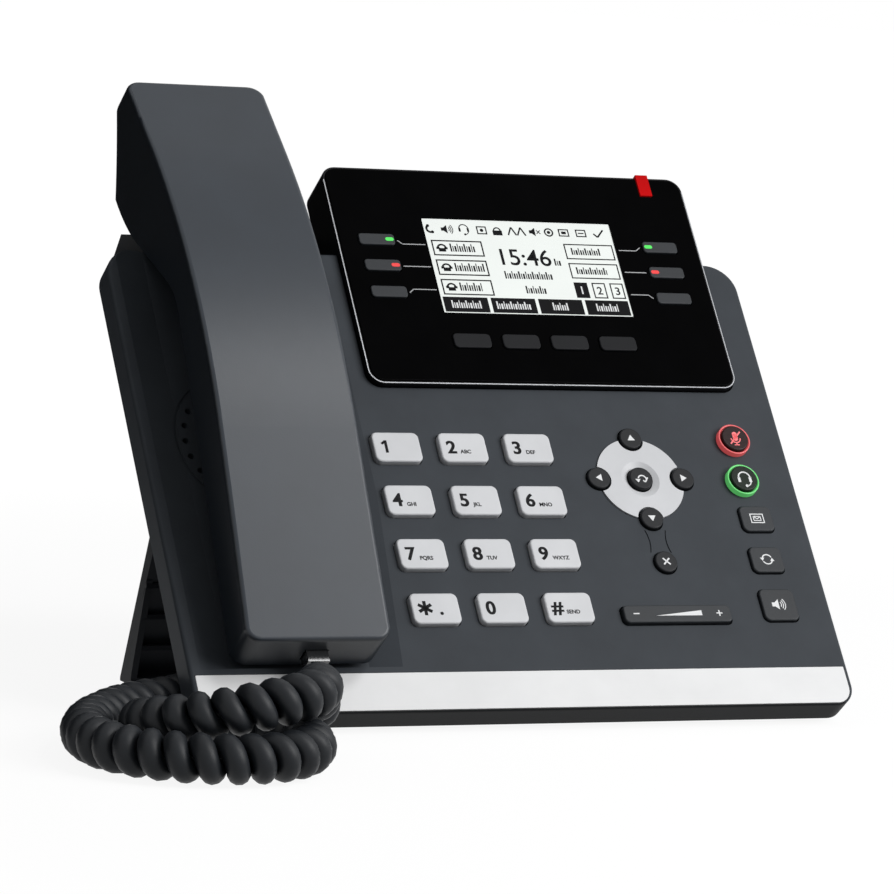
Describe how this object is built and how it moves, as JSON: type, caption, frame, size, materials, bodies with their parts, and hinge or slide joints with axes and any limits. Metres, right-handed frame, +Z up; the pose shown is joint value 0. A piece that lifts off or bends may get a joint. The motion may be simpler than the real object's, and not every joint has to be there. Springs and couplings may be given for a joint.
{
  "type": "desk ip phone",
  "caption": "Desk phone with a corded handset on a sloping base, a raised display, silver dial keys, round navigation keys, a volume rocker and a fold-out rear stand.",
  "frame": {"origin": "on the desk, under the middle of the phone without its cord", "axes": "+X to the right as seen by the person using it, +Y to the back, +Z up"},
  "size_m": [0.262, 0.2049, 0.1801],
  "materials": {
    "base_plastic": "dark slate grey, fine soft sheen",
    "handset_plastic": "dark slate grey, fine soft sheen",
    "silver_trim": "silver paint",
    "display_plastic": "black",
    "display_pane": "polished black",
    "screen": "pale grey-green screen",
    "red_lamp": "translucent red",
    "silver_key": "satin silver",
    "dark_key": "dark grey",
    "light_ring": "translucent",
    "silicone": "matt silicone",
    "board": "green board",
    "speaker_metal": "black",
    "socket_plastic": "black",
    "steel": "zinc plated",
    "foot_rubber": "matt black",
    "cord_jacket": "satin black",
    "plug_plastic": "smoky"
  },
  "bodies": {
    "base": {"front_housing": "base_plastic", "rear_housing": "base_plastic", "trim_strip": "silver_trim", "display_housing": "display_plastic", "display_window": "display_pane", "lcd_module": "screen", "message_light": "red_lamp", "nav_plate": "silver_trim", "key_mats": "silicone", "circuit_boards": "board", "loudspeaker": "speaker_metal", "rear_jacks": "socket_plastic", "case_screws": "steel", "rubber_feet": "foot_rubber", "key_light_rings": "light_ring", "handset_lead": "cord_jacket", "curly_cord": "cord_jacket", "base_lead": "cord_jacket", "base_plug": "plug_plastic"},
    "handset": {"handset_outer_shell": "handset_plastic", "handset_inner_shell": "handset_plastic", "handset_receiver": "speaker_metal", "handset_microphone": "speaker_metal", "handset_plug": "plug_plastic"},
    "stand": {"stand": "base_plastic"},
    "volume_rocker": {"volume_rocker": "dark_key"},
    "hook_switch": {"hook_switch": "base_plastic"},
    "dial_key_5": {"dial_key_5": "silver_key"},
    "dial_key_1": {"dial_key_1": "silver_key"},
    "dial_key_2": {"dial_key_2": "silver_key"},
    "dial_key_3": {"dial_key_3": "silver_key"},
    "dial_key_4": {"dial_key_4": "silver_key"},
    "dial_key_6": {"dial_key_6": "silver_key"},
    "dial_key_7": {"dial_key_7": "silver_key"},
    "dial_key_8": {"dial_key_8": "silver_key"},
    "dial_key_9": {"dial_key_9": "silver_key"},
    "dial_key_star": {"dial_key_star": "silver_key"},
    "dial_key_0": {"dial_key_0": "silver_key"},
    "dial_key_hash": {"dial_key_hash": "silver_key"},
    "line_key_left_1": {"line_key_left_1": "dark_key"},
    "line_key_left_2": {"line_key_left_2": "dark_key"},
    "line_key_left_3": {"line_key_left_3": "dark_key"},
    "line_key_right_1": {"line_key_right_1": "dark_key"},
    "line_key_right_2": {"line_key_right_2": "dark_key"},
    "line_key_right_3": {"line_key_right_3": "dark_key"},
    "soft_key_1": {"soft_key_1": "dark_key"},
    "soft_key_2": {"soft_key_2": "dark_key"},
    "soft_key_3": {"soft_key_3": "dark_key"},
    "soft_key_4": {"soft_key_4": "dark_key"},
    "up_arrow_key": {"up_arrow_key": "dark_key"},
    "down_arrow_key": {"down_arrow_key": "dark_key"},
    "left_arrow_key": {"left_arrow_key": "dark_key"},
    "right_arrow_key": {"right_arrow_key": "dark_key"},
    "ok_key": {"ok_key": "dark_key"},
    "cancel_key": {"cancel_key": "dark_key"},
    "mute_key": {"mute_key": "dark_key"},
    "headset_key": {"headset_key": "dark_key"},
    "message_key": {"message_key": "dark_key"},
    "redial_key": {"redial_key": "dark_key"},
    "speaker_key": {"speaker_key": "dark_key"}
  },
  "joints": [
    {"name": "handset_lift", "type": "slide", "parent": "base", "child": "handset", "axis": [0, -0.7793, 0.6266], "range_m": [0, 0.035], "deforming": ["handset_lead", "curly_cord"]},
    {"name": "stand_fold", "type": "hinge", "parent": "base", "child": "stand", "pos_m": [0, 0.00883, 0.04539], "axis": [-1, 0, 0], "range_deg": [0, 12]},
    {"name": "volume_rock", "type": "hinge", "parent": "base", "child": "volume_rocker", "pos_m": [0.05275, -0.04333, 0.02855], "axis": [0, 0.6266, 0.7793], "range_deg": [-2.5, 2.5], "stiffness_Nm_per_rad": 0.3},
    {"name": "dial_key_5_press", "type": "slide", "parent": "base", "child": "dial_key_5", "axis": [0, 0.7793, -0.6266], "range_m": [0, 0.0012], "stiffness_N_per_m": 300},
    {"name": "line_key_left_1_press", "type": "slide", "parent": "base", "child": "line_key_left_1", "axis": [0, 0.7793, -0.6266], "range_m": [0, 0.0006], "stiffness_N_per_m": 300},
    {"name": "soft_key_1_press", "type": "slide", "parent": "base", "child": "soft_key_1", "axis": [0, 0.7793, -0.6266], "range_m": [0, 0.0006], "stiffness_N_per_m": 300},
    {"name": "up_arrow_key_press", "type": "slide", "parent": "base", "child": "up_arrow_key", "axis": [0, 0.7793, -0.6266], "range_m": [0, 0.001], "stiffness_N_per_m": 300},
    {"name": "ok_key_press", "type": "slide", "parent": "base", "child": "ok_key", "axis": [0, 0.7793, -0.6266], "range_m": [0, 0.001], "stiffness_N_per_m": 300},
    {"name": "cancel_key_press", "type": "slide", "parent": "base", "child": "cancel_key", "axis": [0, 0.7793, -0.6266], "range_m": [0, 0.001], "stiffness_N_per_m": 300},
    {"name": "mute_key_press", "type": "slide", "parent": "base", "child": "mute_key", "axis": [0, 0.7793, -0.6266], "range_m": [0, 0.001], "stiffness_N_per_m": 300},
    {"name": "headset_key_press", "type": "slide", "parent": "base", "child": "headset_key", "axis": [0, 0.7793, -0.6266], "range_m": [0, 0.001], "stiffness_N_per_m": 300},
    {"name": "message_key_press", "type": "slide", "parent": "base", "child": "message_key", "axis": [0, 0.7793, -0.6266], "range_m": [0, 0.001], "stiffness_N_per_m": 300},
    {"name": "redial_key_press", "type": "slide", "parent": "base", "child": "redial_key", "axis": [0, 0.7793, -0.6266], "range_m": [0, 0.001], "stiffness_N_per_m": 300},
    {"name": "speaker_key_press", "type": "slide", "parent": "base", "child": "speaker_key", "axis": [0, 0.7793, -0.6266], "range_m": [0, 0.001], "stiffness_N_per_m": 300},
    {"name": "hook_rise", "type": "slide", "parent": "base", "child": "hook_switch", "axis": [0, -0.7793, 0.6266], "range_m": [0, 0.004]},
    {"name": "dial_key_1_press", "type": "slide", "parent": "base", "child": "dial_key_1", "axis": [0, 0.7793, -0.6266], "range_m": [0, 0.0012], "stiffness_N_per_m": 300},
    {"name": "dial_key_2_press", "type": "slide", "parent": "base", "child": "dial_key_2", "axis": [0, 0.7793, -0.6266], "range_m": [0, 0.0012], "stiffness_N_per_m": 300},
    {"name": "dial_key_3_press", "type": "slide", "parent": "base", "child": "dial_key_3", "axis": [0, 0.7793, -0.6266], "range_m": [0, 0.0012], "stiffness_N_per_m": 300},
    {"name": "dial_key_4_press", "type": "slide", "parent": "base", "child": "dial_key_4", "axis": [0, 0.7793, -0.6266], "range_m": [0, 0.0012], "stiffness_N_per_m": 300},
    {"name": "dial_key_6_press", "type": "slide", "parent": "base", "child": "dial_key_6", "axis": [0, 0.7793, -0.6266], "range_m": [0, 0.0012], "stiffness_N_per_m": 300},
    {"name": "dial_key_7_press", "type": "slide", "parent": "base", "child": "dial_key_7", "axis": [0, 0.7793, -0.6266], "range_m": [0, 0.0012], "stiffness_N_per_m": 300},
    {"name": "dial_key_8_press", "type": "slide", "parent": "base", "child": "dial_key_8", "axis": [0, 0.7793, -0.6266], "range_m": [0, 0.0012], "stiffness_N_per_m": 300},
    {"name": "dial_key_9_press", "type": "slide", "parent": "base", "child": "dial_key_9", "axis": [0, 0.7793, -0.6266], "range_m": [0, 0.0012], "stiffness_N_per_m": 300},
    {"name": "dial_key_star_press", "type": "slide", "parent": "base", "child": "dial_key_star", "axis": [0, 0.7793, -0.6266], "range_m": [0, 0.0012], "stiffness_N_per_m": 300},
    {"name": "dial_key_0_press", "type": "slide", "parent": "base", "child": "dial_key_0", "axis": [0, 0.7793, -0.6266], "range_m": [0, 0.0012], "stiffness_N_per_m": 300},
    {"name": "dial_key_hash_press", "type": "slide", "parent": "base", "child": "dial_key_hash", "axis": [0, 0.7793, -0.6266], "range_m": [0, 0.0012], "stiffness_N_per_m": 300},
    {"name": "line_key_left_2_press", "type": "slide", "parent": "base", "child": "line_key_left_2", "axis": [0, 0.7793, -0.6266], "range_m": [0, 0.0006], "stiffness_N_per_m": 300},
    {"name": "line_key_left_3_press", "type": "slide", "parent": "base", "child": "line_key_left_3", "axis": [0, 0.7793, -0.6266], "range_m": [0, 0.0006], "stiffness_N_per_m": 300},
    {"name": "line_key_right_1_press", "type": "slide", "parent": "base", "child": "line_key_right_1", "axis": [0, 0.7793, -0.6266], "range_m": [0, 0.0006], "stiffness_N_per_m": 300},
    {"name": "line_key_right_2_press", "type": "slide", "parent": "base", "child": "line_key_right_2", "axis": [0, 0.7793, -0.6266], "range_m": [0, 0.0006], "stiffness_N_per_m": 300},
    {"name": "line_key_right_3_press", "type": "slide", "parent": "base", "child": "line_key_right_3", "axis": [0, 0.7793, -0.6266], "range_m": [0, 0.0006], "stiffness_N_per_m": 300},
    {"name": "soft_key_2_press", "type": "slide", "parent": "base", "child": "soft_key_2", "axis": [0, 0.7793, -0.6266], "range_m": [0, 0.0006], "stiffness_N_per_m": 300},
    {"name": "soft_key_3_press", "type": "slide", "parent": "base", "child": "soft_key_3", "axis": [0, 0.7793, -0.6266], "range_m": [0, 0.0006], "stiffness_N_per_m": 300},
    {"name": "soft_key_4_press", "type": "slide", "parent": "base", "child": "soft_key_4", "axis": [0, 0.7793, -0.6266], "range_m": [0, 0.0006], "stiffness_N_per_m": 300},
    {"name": "down_arrow_key_press", "type": "slide", "parent": "base", "child": "down_arrow_key", "axis": [0, 0.7793, -0.6266], "range_m": [0, 0.001], "stiffness_N_per_m": 300},
    {"name": "left_arrow_key_press", "type": "slide", "parent": "base", "child": "left_arrow_key", "axis": [0, 0.7793, -0.6266], "range_m": [0, 0.001], "stiffness_N_per_m": 300},
    {"name": "right_arrow_key_press", "type": "slide", "parent": "base", "child": "right_arrow_key", "axis": [0, 0.7793, -0.6266], "range_m": [0, 0.001], "stiffness_N_per_m": 300}
  ],
  "couplings": [
    {"joint": "hook_rise", "follows": "handset_lift", "ratio": 0.11429}
  ]
}
